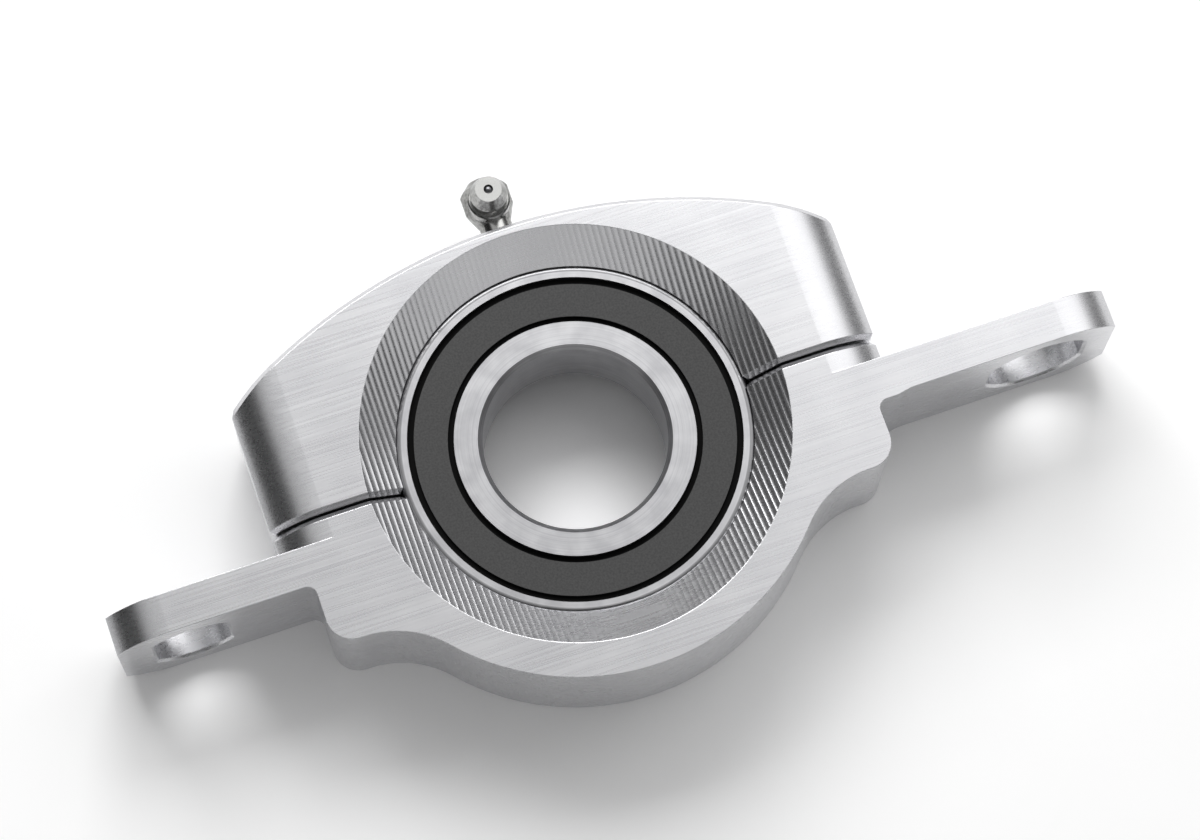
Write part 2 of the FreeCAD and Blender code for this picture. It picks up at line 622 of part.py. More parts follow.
def make_grease_fitting():
    """A right-angled fitting: an upright hexagon, a collared head along the shaft and a thread in the cap."""
    body = new_body("grease_fitting")
    corner = "(fitting_apothem * 2 / sqrt(3))"
    hexagon = new_sketch(body, "hexagon", "XZ_Plane", "fitting_below")
    draw_hexagon(hexagon, corner)
    pad(body, hexagon, "upright", "fitting_below + fitting_above", Reversed=True)

    ends = new_sketch(body, "chamfer_section", "XY_Plane")
    beyond = f"({corner} + {OVERRUN})"
    for sign, end, rim, slope in (("", "fitting_above", "top_chamfer", "top_slope"),
                                  ("-", "fitting_below", "foot_chamfer", "foot_slope")):
        draw_loop(ends, [
            (rim, sign + end),
            (beyond, sign + end),
            (beyond, f"{sign}({end} - ({beyond} - {rim}) * {slope})"),
        ])
    revolve(body, ends, "chamfered_ends", "Groove")

    thread = new_sketch(body, "thread", "XZ_Plane", "fitting_y - shank_end")
    draw_circle(thread, "0", "0", "shank_radius")
    pad(body, thread, "shank", "fitting_y - shank_end", Reversed=True)

    head = new_sketch(body, "head_section", "XZ_Plane")
    draw_loop(head, [
        ("0", "collar_back"), ("collar_radius", "collar_back"),
        ("collar_radius", "collar_front - collar_edge"), ("collar_radius - collar_edge", "collar_front"),
        ("neck_radius", "collar_front"), ("neck_radius", "neck_front"), ("flare_radius", "flare_z"),
        ("tip_radius", "tip_z"), ("0", "tip_z"),
    ])
    revolve(body, head, "head")

    cavity = new_sketch(body, "cavity_section", "XZ_Plane")
    draw_loop(cavity, [
        ("0", "0"), ("duct_radius", "0"), ("duct_radius", "chamber_end"), ("chamber_radius", "chamber_end"),
        ("chamber_radius", "tip_z - mouth_lip"), ("mouth_radius", "tip_z - mouth_lip"),
        ("mouth_radius", f"tip_z + {OVERRUN}"), ("0", f"tip_z + {OVERRUN}"),
    ])
    revolve(body, cavity, "cavity", "Groove")

    passage = new_sketch(body, "passage_circle", "XZ_Plane", "-duct_radius")
    draw_circle(passage, "0", "0", "passage_radius")
    pocket(body, passage, "passage", f"fitting_y - shank_end + duct_radius + {OVERRUN}", Reversed=True)
    body.setExpression("Placement.Base.y", bound("fitting_y"))
    return body


def make_check_ball():
    """The ball that closes the mouth of the grease fitting from inside."""
    ball = document.addObject("Part::Sphere", "grease_check_ball")
    ball.Label = "grease_check_ball"
    ball.setExpression("Radius", bound("check_ball_radius"))
    ball.setExpression("Placement.Base.y", bound("fitting_y"))
    ball.setExpression("Placement.Base.z", bound(CHECK_BALL_Z))
    pieces.append(ball)
    return ball


def make_spring():
    """The spring behind the check ball, from the end of its chamber to the ball."""
    wire, radius = size("spring_wire"), size("spring_radius")
    foot = size("chamber_end") + wire
    touch = size(CHECK_BALL_Z) - math.sqrt((size("check_ball_radius") + wire) ** 2 - radius ** 2)
    height = touch - size("fit_clearance") - foot
    path = Part.makeHelix(height / size("spring_turns"), height, radius)
    section = Part.Wire(Part.makeCircle(wire, Vector(radius, 0, 0), Vector(0, 1, 0)))
    coil = Part.Wire(path).makePipeShell([section], True, True)
    return add_shape("grease_spring", coil, "fitting_y", "chamber_end + spring_wire")


make_saddle()
make_cap()
make_screw("cap_screw_left", "-")
make_screw("cap_screw_right", "")
make_outer_ring()
make_inner_ring()
for number in range(round(size("ball_count"))):
    make_ball(number)
make_cage_half("cage_front", 1)
make_cage_half("cage_back", -1)
make_cage_rivets()
make_seal("seal_front", 1)
make_seal("seal_back", -1)
make_seal_plate("seal_plate_front", 1)
make_seal_plate("seal_plate_back", -1)
make_grease_fitting()
make_check_ball()
make_spring()
document.recompute()

for item in document.Objects:
    faults = {"Invalid", "Error"} & set(item.State)
    if faults:
        raise RuntimeError(f"{item.Name} is {faults}")
for piece in pieces:
    if piece.Shape.isNull() or not piece.Shape.isValid():
        raise RuntimeError(f"{piece.Label} has no valid shape")

os.makedirs("parts", exist_ok=True)
for piece in pieces:
    piece.Shape.exportStep(f"parts/{piece.Label}.step")
    print(f"{piece.Label}: {len(piece.Shape.Solids)} solid, {piece.Shape.Volume / 1000:.3f} cm3")
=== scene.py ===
"""The looks of the driveshaft centre bearing: its finishes, the floor, the studio light and the camera."""

import logging
from dataclasses import dataclass
from enum import Enum
from typing import Any

import bmesh
import bpy
from mathutils import Matrix, Vector

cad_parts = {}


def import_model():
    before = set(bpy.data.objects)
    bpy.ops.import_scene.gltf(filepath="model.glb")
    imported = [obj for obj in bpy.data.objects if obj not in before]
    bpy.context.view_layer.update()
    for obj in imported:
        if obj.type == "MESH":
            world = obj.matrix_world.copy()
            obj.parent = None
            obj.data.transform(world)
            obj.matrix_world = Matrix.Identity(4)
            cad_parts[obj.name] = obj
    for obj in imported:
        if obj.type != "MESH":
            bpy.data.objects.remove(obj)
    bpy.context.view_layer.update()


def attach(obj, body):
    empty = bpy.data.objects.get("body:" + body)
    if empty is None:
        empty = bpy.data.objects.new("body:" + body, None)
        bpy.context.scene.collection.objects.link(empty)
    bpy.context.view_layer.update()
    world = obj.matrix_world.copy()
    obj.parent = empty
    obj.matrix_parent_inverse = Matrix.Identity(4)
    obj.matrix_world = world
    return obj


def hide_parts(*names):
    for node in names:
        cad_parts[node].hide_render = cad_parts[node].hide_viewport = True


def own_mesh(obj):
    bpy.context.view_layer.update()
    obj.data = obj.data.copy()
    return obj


logging.basicConfig(level=logging.INFO, format="%(message)s")
log = logging.getLogger("centre_bearing")

Colour = tuple[float, float, float, float]
Place = tuple[float, float, float]
Tree = bpy.types.NodeTree
Socket = bpy.types.NodeSocket

MM = 0.001
PER_METRE = 1000
FLOOR_Z = -12.7 * MM
PHOTO_WIDTH_PX = 1200
SENSOR_MM = 36.0

# Most of a noise lies between these values, and most of the product of two noises between the next two.
NOISE_LOW, NOISE_HIGH = 0.35, 0.65
PRODUCT_LOW, PRODUCT_HIGH = 0.15, 0.35

# The colour sockets of a mix node have no names of their own.
MIX_A, MIX_B, MIX_RESULT = 6, 7, 2


def linear_colour(hex_code: str) -> Colour:
    """Turns an sRGB hex value into a linear colour.

    Args:
        hex_code: six hex digits after a hash.

    Returns:
        Linear red, green and blue with an alpha of one.
    """
    digits = hex_code.lstrip("#")
    channels = [int(digits[start:start + 2], 16) / 255 for start in (0, 2, 4)]
    red, green, blue = (c / 12.92 if c <= 0.04045 else ((c + 0.055) / 1.055) ** 2.4 for c in channels)
    return red, green, blue, 1.0


def grey(level: float) -> Colour:
    """Turns a linear brightness into a grey.

    Args:
        level: the brightness.

    Returns:
        The grey, with an alpha of one.
    """
    return level, level, level, 1.0


def add_node(tree: Tree, kind: str, values: dict[Any, Any] | None = None,
             links: dict[Any, Socket] | None = None, stops: list[tuple[float, Colour]] | None = None,
             **settings: Any) -> bpy.types.Node:
    """Adds a node with its settings, its constant inputs and its links.

    Args:
        tree: the tree that gets the node.
        kind: the node's type name.
        values: constants by input name or number.
        links: the sockets that feed the node, by input name or number.
        stops: place and colour of a ramp's stops, in rising order.
        settings: the node's own properties.

    Returns:
        The new node.
    """
    node = tree.nodes.new(kind)
    for setting, given in settings.items():
        setattr(node, setting, given)
    for key, given in (values or {}).items():
        node.inputs[key].default_value = given
    for key, source in (links or {}).items():
        tree.links.new(source, node.inputs[key])
    if stops:
        elements = node.color_ramp.elements
        for element, (place, colour) in zip(elements, (stops[0], stops[-1])):
            element.position, element.color = place, colour
        for place, colour in stops[1:-1]:
            elements.new(place).color = colour
    return node


def new_material(name: str) -> tuple[bpy.types.Material, Tree, bpy.types.Node, Socket]:
    """Starts a material.

    Args:
        name: what the finish is called.

    Returns:
        The material, its tree, its main shader and the place on the piece.
    """
    material = bpy.data.materials.new(name)
    material.use_nodes = True
    tree = material.node_tree
    shader = tree.nodes["Principled BSDF"]
    place = add_node(tree, "ShaderNodeTexCoord").outputs["Object"]
    return material, tree, shader, place


def from_shaft(tree: Tree, place: Socket) -> tuple[bpy.types.NodeOutputs, Socket]:
    """Measures how far the place lies from the shaft's middle line.

    Args:
        tree: the material's tree.
        place: the place on the piece.

    Returns:
        The place's three coordinates and its radius.
    """
    parts = add_node(tree, "ShaderNodeSeparateXYZ", links={"Vector": place}).outputs
    flat = add_node(tree, "ShaderNodeCombineXYZ", links={"X": parts["X"], "Y": parts["Y"]}).outputs[0]
    radius = add_node(tree, "ShaderNodeVectorMath", links={0: flat}, operation="LENGTH").outputs["Value"]
    return parts, radius


@dataclass(frozen=True)
class MilledAluminium:
    """Bare 6061 aluminium, milled with a fly cutter.

    It gives the eye a pale satin metal with faint streaks along the ears, and ridges in the funnel. Real
    streaks are a few hundredths of a millimetre apart. They are drawn as coarse as they need to show. The
    ridges keep their real pitch, but are drawn deeper than real ones so that they show.
    """

    name: str = "milled_aluminium"
    pale: str = "#DEDEE0"
    dull: str = "#D2D2D5"
    roughness: float = 0.27
    smoother: float = 0.05
    rougher: float = 0.07
    streak_mm: float = 0.35
    streak_length_mm: float = 30.0
    streak_depth_mm: float = 0.02
    streak_strength: float = 0.14
    streak_turn: float = 0.035
    streak_detail: float = 3.0
    streak_grit: float = 0.6
    blotch_mm: float = 9.0
    blotch_detail: float = 4.0
    combed_below: float = 0.3
    smooth_above: float = 0.7
    scallop_pitch_mm: float = 1.02
    scallop_depth_mm: float = 0.09
    weakest_scallop: float = 0.15
    funnel_outside_mm: float = 36.8
    face_z_mm: float = 12.7
    face_margin_mm: float = 0.03
    edge_mm: float = 0.15
    edge_samples: int = 6

    def material(self) -> bpy.types.Material:
        """Builds the material with its streaks and with the cutter's ridges in the funnel.

        Returns:
            The material.
        """
        material, tree, shader, place = new_material(self.name)
        grain = self.streaks(tree, place)
        cloud = add_node(tree, "ShaderNodeTexNoise",
                         {"Scale": PER_METRE / self.blotch_mm, "Detail": self.blotch_detail},
                         {"Vector": place}).outputs["Fac"]
        half = add_node(tree, "ShaderNodeMath", {1: 0.5}, {0: grain}, operation="MULTIPLY").outputs[0]
        tone = add_node(tree, "ShaderNodeMath", {1: 0.5}, {0: cloud, 2: half},
                        operation="MULTIPLY_ADD").outputs[0]
        stops = [(NOISE_LOW, linear_colour(self.dull)), (NOISE_HIGH, linear_colour(self.pale))]
        colour = add_node(tree, "ShaderNodeValToRGB", links={"Fac": tone}, stops=stops).outputs["Color"]
        tree.links.new(colour, shader.inputs["Base Color"])
        shader.inputs["Metallic"].default_value = 1.0
        smoothest, roughest = self.roughness - self.smoother, self.roughness + self.rougher
        rough = add_node(tree, "ShaderNodeMapRange", {"To Min": smoothest, "To Max": roughest},
                         {"Value": grain}).outputs["Result"]
        tree.links.new(rough, shader.inputs["Roughness"])
        edge = add_node(tree, "ShaderNodeBevel", {"Radius": self.edge_mm * MM},
                        samples=self.edge_samples).outputs["Normal"]
        funnel = self.in_funnel(tree, place)
        streaked = add_node(tree, "ShaderNodeBump", {"Distance": self.streak_depth_mm * MM},
                            {"Height": grain, "Strength": self.streaks_show(tree, funnel), "Normal": edge})
        ridged = add_node(tree, "ShaderNodeBump", {"Distance": self.scallop_depth_mm * MM},
                          {"Height": self.scallops(tree, place), "Strength": funnel,
                           "Normal": streaked.outputs["Normal"]})
        tree.links.new(ridged.outputs["Normal"], shader.inputs["Normal"])
        return material

    def streaks(self, tree: Tree, place: Socket) -> Socket:
        """Draws the cutter's streaks, long along the ears and fine across them.

        Args:
            tree: the material's tree.
            place: the place on the piece.

        Returns:
            How high the streaks are, from zero to one.
        """
        along, across = PER_METRE / self.streak_length_mm, PER_METRE / self.streak_mm
        stretched = add_node(tree, "ShaderNodeMapping",
                             {"Scale": (along, across, across), "Rotation": (0, 0, self.streak_turn)},
                             {"Vector": place}).outputs["Vector"]
        return add_node(tree, "ShaderNodeTexNoise",
                        {"Scale": 1.0, "Detail": self.streak_detail, "Roughness": self.streak_grit},
                        {"Vector": stretched}).outputs["Fac"]

    def streaks_show(self, tree: Tree, funnel: Socket) -> Socket:
        """Fades the streaks out in the funnel and on faces that look along the ears.

        Args:
            tree: the material's tree.
            funnel: how strong the ridges are.

        Returns:
            How strong the streaks are.
        """
        outside = add_node(tree, "ShaderNodeMapRange",
                           {"From Max": self.weakest_scallop, "To Min": self.streak_strength, "To Max": 0.0},
                           {"Value": funnel}).outputs["Result"]
        facing = add_node(tree, "ShaderNodeNewGeometry").outputs["True Normal"]
        along_ears = add_node(tree, "ShaderNodeSeparateXYZ", links={"Vector": facing}).outputs["X"]
        turned = add_node(tree, "ShaderNodeMath", links={0: along_ears}, operation="ABSOLUTE").outputs[0]
        combed = add_node(tree, "ShaderNodeMapRange",
                          {"From Min": self.combed_below, "From Max": self.smooth_above, "To Min": 1.0,
                           "To Max": 0.0}, {"Value": turned}).outputs["Result"]
        return add_node(tree, "ShaderNodeMath", links={0: outside, 1: combed},
                        operation="MULTIPLY").outputs[0]

    def scallops(self, tree: Tree, place: Socket) -> Socket:
        """Draws the cutter's ridges, which run along Y with one pitch between them.

        Args:
            tree: the material's tree.
            place: the place on the piece.

        Returns:
            The height of the ridges, from zero to one.
        """
        parts = add_node(tree, "ShaderNodeSeparateXYZ", links={"Vector": place}).outputs
        steps = add_node(tree, "ShaderNodeMath", {1: PER_METRE / self.scallop_pitch_mm}, {0: parts["X"]},
                         operation="MULTIPLY").outputs[0]
        part = add_node(tree, "ShaderNodeMath", links={0: steps}, operation="FRACT").outputs[0]
        middle = add_node(tree, "ShaderNodeMath", {1: 0.5}, {0: part}, operation="SUBTRACT").outputs[0]
        curve = add_node(tree, "ShaderNodeMath", {1: 2.0}, {0: middle}, operation="MULTIPLY").outputs[0]
        return add_node(tree, "ShaderNodeMath", links={0: curve, 1: curve}, operation="MULTIPLY").outputs[0]

    def in_funnel(self, tree: Tree, place: Socket) -> Socket:
        """Marks the walls of the two funnels: one at left and right, less at top and bottom, zero elsewhere.

        Args:
            tree: the material's tree.
            place: the place on the piece.

        Returns:
            How strong the ridges are.
        """
        parts, radius = from_shaft(tree, place)
        within = add_node(tree, "ShaderNodeMath", {1: self.funnel_outside_mm * MM}, {0: radius},
                          operation="LESS_THAN").outputs[0]
        height = add_node(tree, "ShaderNodeMath", links={0: parts["Z"]}, operation="ABSOLUTE").outputs[0]
        mouth = (self.face_z_mm - self.face_margin_mm) * MM
        below = add_node(tree, "ShaderNodeMath", {1: mouth}, {0: height}, operation="LESS_THAN").outputs[0]
        side = add_node(tree, "ShaderNodeMath", links={0: parts["X"]}, operation="ABSOLUTE").outputs[0]
        share = add_node(tree, "ShaderNodeMath", links={0: side, 1: radius}, operation="DIVIDE").outputs[0]
        strong = add_node(tree, "ShaderNodeMath", {1: 1 - self.weakest_scallop, 2: self.weakest_scallop},
                          {0: share}, operation="MULTIPLY_ADD").outputs[0]
        mask = add_node(tree, "ShaderNodeMath", links={0: within, 1: below}, operation="MULTIPLY").outputs[0]
        return add_node(tree, "ShaderNodeMath", links={0: mask, 1: strong}, operation="MULTIPLY").outputs[0]


class Lay(Enum):
    """How the marks of a finish run over a piece."""

    STRAIGHT = "straight"
    ROUND = "round"


@dataclass(frozen=True)
class Steel:
    """A steel surface, told apart by how it was finished.

    Grinding and drawing marks are a few hundredths of a millimetre wide. They are drawn as coarse as they
    need to show. Beyond a radius the colour is darker: partly the duller finish of a turned rim, partly
    painted shade where that rim meets the housing. That radius lies past every piece where nothing is
    darkened. A rubbed finish is paler on the faces that look up along the shaft: partly where a grease gun
    wears it, partly a painted highlight where those faces mirror the bright ceiling.
    """

    name: str
    pale: str
    dull: str
    roughness: float
    lay: Lay = Lay.ROUND
    mark_mm: float = 0.25
    mark_detail: float = 2.0
    bump_mm: float = 0.004
    bump_strength: float = 0.4
    cloud_mm: float = 4.0
    cloud_detail: float = 3.0
    smoother: float = 0.04
    rougher: float = 0.06
    # Beyond this radius the colour darkens: a turned rim's duller finish, and painted shade where it meets
    # the housing.
    turned_and_shaded_beyond_mm: float = 1000.0
    turned_and_shaded_edge_mm: float = 0.1
    turned_and_shaded_tone: float = 0.5
    # A paler colour on faces that look up: partly wear, partly a painted highlight.
    wear_and_highlight: str = ""
    wear_and_highlight_from: float = 0.85
    wear_and_highlight_to: float = 0.95

    def material(self) -> bpy.types.Material:
        """Builds the material with fine marks that run round the shaft or straight.

        Returns:
            The material.
        """
        material, tree, shader, place = new_material(self.name)
        parts, radius = from_shaft(tree, place)
        across = place
        if self.lay is Lay.ROUND:
            across = add_node(tree, "ShaderNodeCombineXYZ", links={"X": radius, "Y": parts["Z"]}).outputs[0]
        marks = add_node(tree, "ShaderNodeTexNoise",
                         {"Scale": PER_METRE / self.mark_mm, "Detail": self.mark_detail},
                         {"Vector": across}).outputs["Fac"]
        cloud = add_node(tree, "ShaderNodeTexNoise",
                         {"Scale": PER_METRE / self.cloud_mm, "Detail": self.cloud_detail},
                         {"Vector": place}).outputs["Fac"]
        tone = add_node(tree, "ShaderNodeMath", links={0: marks, 1: cloud}, operation="MULTIPLY").outputs[0]
        stops = [(PRODUCT_LOW, linear_colour(self.dull)), (PRODUCT_HIGH, linear_colour(self.pale))]
        ground = add_node(tree, "ShaderNodeValToRGB", links={"Fac": tone}, stops=stops).outputs["Color"]
        # Painted shade, partly a turned rim's duller finish: the colour darkens beyond the radius, where the
        # ring meets the housing.
        start = (self.turned_and_shaded_beyond_mm - self.turned_and_shaded_edge_mm) * MM
        end = (self.turned_and_shaded_beyond_mm + self.turned_and_shaded_edge_mm) * MM
        shade = add_node(tree, "ShaderNodeMapRange",
                         {"From Min": start, "From Max": end, "To Min": 1.0, "To Max": self.turned_and_shaded_tone},
                         {"Value": radius}).outputs["Result"]
        finish = add_node(tree, "ShaderNodeVectorMath", links={0: ground, "Scale": shade},
                          operation="SCALE").outputs["Vector"]
        # Painted highlight, partly wear: faces that look up get the paler colour.
        if self.wear_and_highlight:
            finish = self.wear_and_highlight_tint(tree, finish)
        tree.links.new(finish, shader.inputs["Base Color"])
        shader.inputs["Metallic"].default_value = 1.0
        smoothest, roughest = self.roughness - self.smoother, self.roughness + self.rougher
        rough = add_node(tree, "ShaderNodeMapRange", {"To Min": smoothest, "To Max": roughest},
                         {"Value": cloud}).outputs["Result"]
        tree.links.new(rough, shader.inputs["Roughness"])
        bump = add_node(tree, "ShaderNodeBump",
                        {"Strength": self.bump_strength, "Distance": self.bump_mm * MM}, {"Height": marks})
        tree.links.new(bump.outputs["Normal"], shader.inputs["Normal"])
        return material

    def wear_and_highlight_tint(self, tree: Tree, finish: Socket) -> Socket:
        """Makes the finish paler on the faces that look up along the shaft: partly wear, partly a painted
        highlight.

        Args:
            tree: the material's tree.
            finish: the colour on the other faces.

        Returns:
            The colour everywhere.
        """
        facing = add_node(tree, "ShaderNodeNewGeometry").outputs["True Normal"]
        along = add_node(tree, "ShaderNodeSeparateXYZ", links={"Vector": facing}).outputs["Z"]
        share = add_node(tree, "ShaderNodeMapRange",
                         {"From Min": self.wear_and_highlight_from, "From Max": self.wear_and_highlight_to},
                         {"Value": along}).outputs["Result"]
        return add_node(tree, "ShaderNodeMix", {MIX_B: linear_colour(self.wear_and_highlight)},
                        {"Factor": share, MIX_A: finish}, data_type="RGBA").outputs[MIX_RESULT]


@dataclass(frozen=True)
class MouldedRubber:
    """Nitrile rubber from an eroded mould: dark grey and matte, with a fine even grain.

    The real grain is finer than a tenth of a millimetre. It is drawn as coarse as it needs to show. The
    grooves beside the raised ring carry painted shade: a near-black colour and little shine stand in for the
    shade that falls in them.
    """

    name: str = "moulded_nitrile_rubber"
    pale: str = "#434343"
    dark: str = "#363636"
    # Painted shade: the grooves' near-black colour and low shine stand in for the shade that falls in them.
    groove_painted_shade: str = "#040404"
    groove_top_mm: float = 7.35
    groove_shine: float = 0.08
    face_shine: float = 0.5
    grain_mm: float = 0.35
    grain_detail: float = 3.0
    grain_depth_mm: float = 0.02
    grain_strength: float = 0.3
    roughness: float = 0.62
    rubber_ior: float = 1.5

    def material(self) -> bpy.types.Material:
        """Builds the material.

        Returns:
            The material.
        """
        material, tree, shader, place = new_material(self.name)
        grain = add_node(tree, "ShaderNodeTexNoise",
                         {"Scale": PER_METRE / self.grain_mm, "Detail": self.grain_detail},
                         {"Vector": place}).outputs["Fac"]
        stops = [(NOISE_LOW, linear_colour(self.dark)), (NOISE_HIGH, linear_colour(self.pale))]
        face = add_node(tree, "ShaderNodeValToRGB", links={"Fac": grain}, stops=stops).outputs["Color"]
        parts = add_node(tree, "ShaderNodeSeparateXYZ", links={"Vector": place}).outputs
        height = add_node(tree, "ShaderNodeMath", links={0: parts["Z"]}, operation="ABSOLUTE").outputs[0]
        raised = add_node(tree, "ShaderNodeMath", {1: self.groove_top_mm * MM}, {0: height},
                          operation="GREATER_THAN").outputs[0]
        # Painted shade: below the raised ring's top the colour is near black, for the shade in the grooves.
        colour = add_node(tree, "ShaderNodeMix", {MIX_A: linear_colour(self.groove_painted_shade)},
                          {"Factor": raised, MIX_B: face}, data_type="RGBA").outputs[MIX_RESULT]
        tree.links.new(colour, shader.inputs["Base Color"])
        # Painted shade: the shine is low in the grooves, so that they read darker.
        shine = add_node(tree, "ShaderNodeMapRange", {"To Min": self.groove_shine, "To Max": self.face_shine},
                         {"Value": raised}).outputs["Result"]
        tree.links.new(shine, shader.inputs["Specular IOR Level"])
        shader.inputs["Roughness"].default_value = self.roughness
        shader.inputs["IOR"].default_value = self.rubber_ior
        bump = add_node(tree, "ShaderNodeBump",
                        {"Strength": self.grain_strength, "Distance": self.grain_depth_mm * MM},
                        {"Height": grain})
        tree.links.new(bump.outputs["Normal"], shader.inputs["Normal"])
        return material


def dress(nodes: list[str], material: bpy.types.Material) -> None:
    """Gives nodes of the frame their finish.

    Args:
        nodes: the nodes' names.
        material: what they are made of.
    """
    for node in nodes:
        mesh = bpy.data.objects[node].data
        mesh.materials.clear()
        mesh.materials.append(material)


@dataclass
class Carrier:
    """The two aluminium halves and their screws."""

    aluminium: MilledAluminium = MilledAluminium()
    # Alloy steel with a black oxide: nearly black and satin.
    screw_steel: Steel = Steel("blackened_screw_steel", "#3A3A3C", "#2A2A2C", 0.38, Lay.STRAIGHT)

    def build(self) -> None:
        """Dresses both halves and the cap screws."""
        dress(["saddle", "cap"], self.aluminium.material())
        dress(["cap_screw_left", "cap_screw_right"], self.screw_steel.material())
        log.info("carrier: two halves and two screws")


@dataclass
class Bearing:
    """The sealed ball bearing."""

    balls: int = 9
    # Chrome steel, ground on its faces: pale, with fine rings. The turned rim outside them is darker, partly
    # its duller finish and partly painted shade where it meets the housing.
    ring_steel: Steel = Steel("ground_bearing_steel", "#CCCCCE", "#BABABD", 0.30, turned_and_shaded_beyond_mm=29.8)
    # Chrome steel, lapped: a mirror without marks.
    ball_steel: Steel = Steel("polished_ball_steel", "#DCDCDD", "#D2D2D4", 0.08, Lay.STRAIGHT, bump_mm=0.0005)
    # Cold rolled sheet, pressed: a warmer and duller grey.
    cage_steel: Steel = Steel("pressed_sheet_steel", "#A8A7A4", "#8E8D8B", 0.42, Lay.STRAIGHT)
    rubber: MouldedRubber = MouldedRubber()

    def build(self) -> None:
        """Dresses the rings, the seals and what they hide."""
        dress(["outer_ring", "inner_ring"], self.ring_steel.material())
        dress([f"ball_{number}" for number in range(1, self.balls + 1)], self.ball_steel.material())
        sheet = ["cage_front", "cage_back", "cage_rivets", "seal_plate_front", "seal_plate_back"]
        dress(sheet, self.cage_steel.material())
        dress(["seal_front", "seal_back"], self.rubber.material())
        log.info("bearing: rings, %d balls, cage and seals", self.balls)


@dataclass
class GreaseFitting:
    """The angled fitting on the crown with its check ball and spring."""

    # Turned steel with bright zinc: grey, glossy and a little blotchy. Its faces that look up are paler:
    # partly a tip rubbed by the grease gun, partly a painted highlight.
    plate: Steel = Steel("zinc_plated_steel", "#A6A6A4", "#747472", 0.20, Lay.STRAIGHT, mark_mm=0.5,
                         bump_mm=0.003, wear_and_highlight="#D0D0CE")
    # Chrome steel, lapped and wet with grease: darker than a dry ball.
    ball_steel: Steel = Steel("check_ball_steel", "#77777A", "#6C6C6E", 0.30, Lay.STRAIGHT, bump_mm=0.0005)
    # Cold drawn wire: mid grey, with a soft shine.
    wire: Steel = Steel("drawn_spring_wire", "#8A8A8A", "#6E6E6E", 0.3, Lay.STRAIGHT)
    travel_mm: float = 0.8
    merge_mm: float = 0.0001

    def build(self) -> None:
        """Dresses the fitting and its ball, and builds its spring."""
        dress(["grease_fitting"], self.plate.material())
        dress(["grease_check_ball"], self.ball_steel.material())
        self.build_spring()
        log.info("grease fitting: body, check ball and spring")

    def build_spring(self) -> None:
        """Winds a merged copy of the spring, which shortens from its lower end as the check ball goes in."""
        node = bpy.data.objects["grease_spring"]
        shape = bmesh.new()
        shape.from_mesh(node.data)
        bmesh.ops.transform(shape, matrix=node.matrix_world, verts=shape.verts)
        bmesh.ops.remove_doubles(shape, verts=shape.verts, dist=self.merge_mm * MM)
        mesh = bpy.data.meshes.new("grease_spring_wound")
        shape.to_mesh(mesh)
        shape.free()
        mesh.materials.append(self.wire.material())
        spring = bpy.data.objects.new("grease_spring_wound", mesh)
        bpy.context.scene.collection.objects.link(spring)
        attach(spring, "housing")
        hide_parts("grease_spring")
        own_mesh(spring)


@dataclass(frozen=True)
class Floor:
    """A plain sheet of pale paper under the carrier's back face."""

    size_m: float = 12.0
    pale: str = "#F4F4F4"
    dull: str = "#F2F2F2"
    gain: float = 1.25
    grain_per_metre: float = 60.0
    roughness: float = 0.9
    shine: float = 0.1

    def build(self) -> None:
        """Lays the floor."""
        mesh = bpy.data.meshes.new("floor")
        shape = bmesh.new()
        bmesh.ops.create_grid(shape, x_segments=1, y_segments=1, size=self.size_m / 2)
        bmesh.ops.translate(shape, verts=shape.verts, vec=(0, 0, FLOOR_Z))
        shape.to_mesh(mesh)
        shape.free()
        floor = bpy.data.objects.new("floor", mesh)
        bpy.context.scene.collection.objects.link(floor)
        mesh.materials.append(self.material())

    def material(self) -> bpy.types.Material:
        """Builds pale matte paper, which is a little paler to the camera and in mirrored and clear surfaces.

        Returns:
            The material.
        """
        material, tree, shader, place = new_material("pale_paper")
        grain = add_node(tree, "ShaderNodeTexNoise", {"Scale": self.grain_per_metre},
                         {"Vector": place}).outputs["Fac"]
        stops = [(0.0, linear_colour(self.dull)), (1.0, linear_colour(self.pale))]
        colour = add_node(tree, "ShaderNodeValToRGB", links={"Fac": grain}, stops=stops).outputs["Color"]
        rays = add_node(tree, "ShaderNodeLightPath").outputs
        direct = add_node(tree, "ShaderNodeMath", links={0: rays["Is Camera Ray"], 1: rays["Is Glossy Ray"]},
                          operation="MAXIMUM").outputs[0]
        seen = add_node(tree, "ShaderNodeMath", links={0: direct, 1: rays["Is Transmission Ray"]},
                        operation="MAXIMUM").outputs[0]
        gain = add_node(tree, "ShaderNodeMapRange", {"To Min": 1.0, "To Max": self.gain},
                        {"Value": seen}).outputs["Result"]
        lifted = add_node(tree, "ShaderNodeVectorMath", links={0: colour, "Scale": gain}, operation="SCALE")
        tree.links.new(lifted.outputs["Vector"], shader.inputs["Base Color"])
        shader.inputs["Roughness"].default_value = self.roughness
        shader.inputs["Specular IOR Level"].default_value = self.shine
        return material


@dataclass(frozen=True)
class Softbox:
    """A rectangular lamp. Its place, its aim and its size are in metres, and its power in watts."""

    name: str
    place: Place
    aim: Place
    size: tuple[float, float]
    power: float

    def build(self) -> None:
        """Hangs the lamp."""
        data = bpy.data.lights.new(self.name, "AREA")
        data.shape = "RECTANGLE"
        data.size, data.size_y = self.size
        data.energy = self.power
        lamp = bpy.data.objects.new(self.name, data)
        bpy.context.scene.collection.objects.link(lamp)
        look = Vector(self.aim) - Vector(self.place)
        lamp.rotation_euler = look.to_track_quat("-Z", "Y").to_euler()
        lamp.location = self.place


